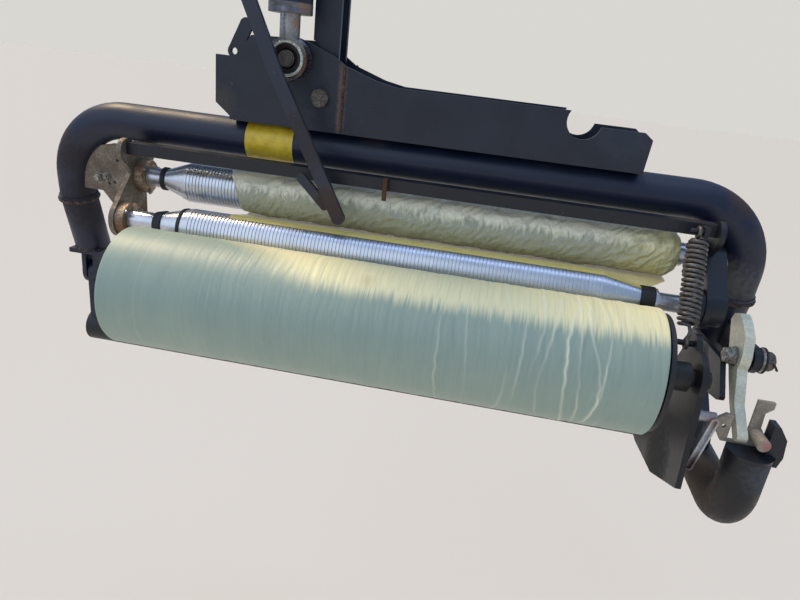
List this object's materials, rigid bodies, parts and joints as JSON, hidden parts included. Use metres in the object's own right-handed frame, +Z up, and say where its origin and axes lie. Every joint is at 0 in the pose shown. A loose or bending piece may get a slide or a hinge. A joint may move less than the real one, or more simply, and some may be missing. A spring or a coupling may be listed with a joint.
{
  "type": "bale wrapper film dispenser",
  "caption": "Film dispenser with a film roll on a swing-down cradle, two geared stretch rollers, a bent guard tube and a tilting carrier arm.",
  "frame": {"origin": "middle of the mast plate's top face, between its four bolt holes", "axes": "+X along the film roll to the drive end, +Y to the back, +Z up out of the mast plate"},
  "size_m": [1.1929, 0.3519, 0.932],
  "materials": {
    "black_paint": "semi-gloss black paint, dusty and scuffed",
    "rusty_bar": "black paint worn to rust at the tip",
    "rod_chrome": "hard chrome rod, greasy steel eye",
    "pin_steel": "plain steel, weathered",
    "bare_plate": "bare steel plate with beige dust",
    "rusty_flange": "rusty pressed flange",
    "roller_aluminium": "turned aluminium with fine grooves",
    "stretch_film": "thin stretch film, wrinkled",
    "wound_film": "pale green stretch film wound tight",
    "cardboard": "spiral wound cardboard",
    "disc_plastic": "black moulded plastic",
    "zinc_plate": "yellow and grey zinc plating, worn",
    "spring_steel": "black oiled spring wire"
  },
  "bodies": {
    "mast": {"mast_arm": "black_paint", "mast_plate": "black_paint", "stop_bar": "rusty_bar"},
    "barrel": {"cylinder_barrel": "black_paint"},
    "rod": {"cylinder_rod": "rod_chrome"},
    "dispenser": {"guard_tube": "black_paint", "carrier_channel": "black_paint", "pivot_cheek_front": "black_paint", "pivot_cheek_back": "black_paint", "pivot_pin": "pin_steel", "eye_pin": "pin_steel", "tie_bar": "black_paint", "tie_stud": "rusty_bar", "end_plate_left": "bare_plate", "end_plate_right": "black_paint", "gusset_left": "bare_plate", "gusset_right": "black_paint", "bearings_left": "rusty_flange", "bearings_right": "black_paint", "gear_case": "black_paint", "hinge_fork_left": "black_paint", "hinge_fork_right": "black_paint", "hanger_plate": "black_paint", "latch_lug": "black_paint", "spring_anchor": "black_paint", "tension_spring": "spring_steel"},
    "front_roller": {"front_roller": "roller_aluminium"},
    "back_roller": {"back_roller": "roller_aluminium", "film_sleeve": "stretch_film"},
    "cradle": {"cradle_tube": "black_paint", "cradle_plate_left": "black_paint", "cradle_plate_right": "black_paint", "cradle_ear_left": "black_paint", "cradle_ear_right": "black_paint", "striker": "zinc_plate", "catch_block": "black_paint", "release_handle": "zinc_plate"},
    "film_roll": {"roll_film": "wound_film", "roll_core": "cardboard", "end_disc_left": "disc_plastic", "end_disc_right": "disc_plastic"},
    "latch": {"latch_lever": "zinc_plate"}
  },
  "joints": [
    {"name": "dispenser_tilt", "type": "hinge", "parent": "mast", "child": "dispenser", "pos_m": [0.046, 0, -0.416], "axis": [0, 1, 0], "range_deg": [-8, 20]},
    {"name": "barrel_swing", "type": "hinge", "parent": "mast", "child": "barrel", "pos_m": [0, -0.058, -0.062], "axis": [0, 1, 0], "range_deg": [-4, 2]},
    {"name": "rod_stroke", "type": "slide", "parent": "barrel", "child": "rod", "axis": [0, 0, 1], "range_m": [-0.006, 0.014]},
    {"name": "front_roller_spin", "type": "hinge", "parent": "dispenser", "child": "front_roller", "pos_m": [0.19, -0.083, -0.636], "axis": [1, 0, 0], "continuous": true},
    {"name": "back_roller_spin", "type": "hinge", "parent": "dispenser", "child": "back_roller", "pos_m": [0.19, -0.023, -0.576], "axis": [1, 0, 0], "continuous": true},
    {"name": "cradle_hinge", "type": "hinge", "parent": "dispenser", "child": "cradle", "pos_m": [0.19, 0.048, -0.79], "axis": [1, 0, 0], "range_deg": [0, 40], "deforming": ["tension_spring"]},
    {"name": "film_roll_spin", "type": "hinge", "parent": "cradle", "child": "film_roll", "pos_m": [0.19, -0.188, -0.702], "axis": [1, 0, 0], "continuous": true},
    {"name": "latch_turn", "type": "hinge", "parent": "dispenser", "child": "latch", "pos_m": [0.19, -0.114, -0.69], "axis": [1, 0, 0], "range_deg": [-70, 0]}
  ],
  "couplings": [
    {"joint": "barrel_swing", "follows": "dispenser_tilt", "ratio": -0.182},
    {"joint": "rod_stroke", "follows": "dispenser_tilt", "m_per_rad": 0.0378},
    {"joint": "back_roller_spin", "follows": "front_roller_spin", "ratio": -1.7}
  ]
}
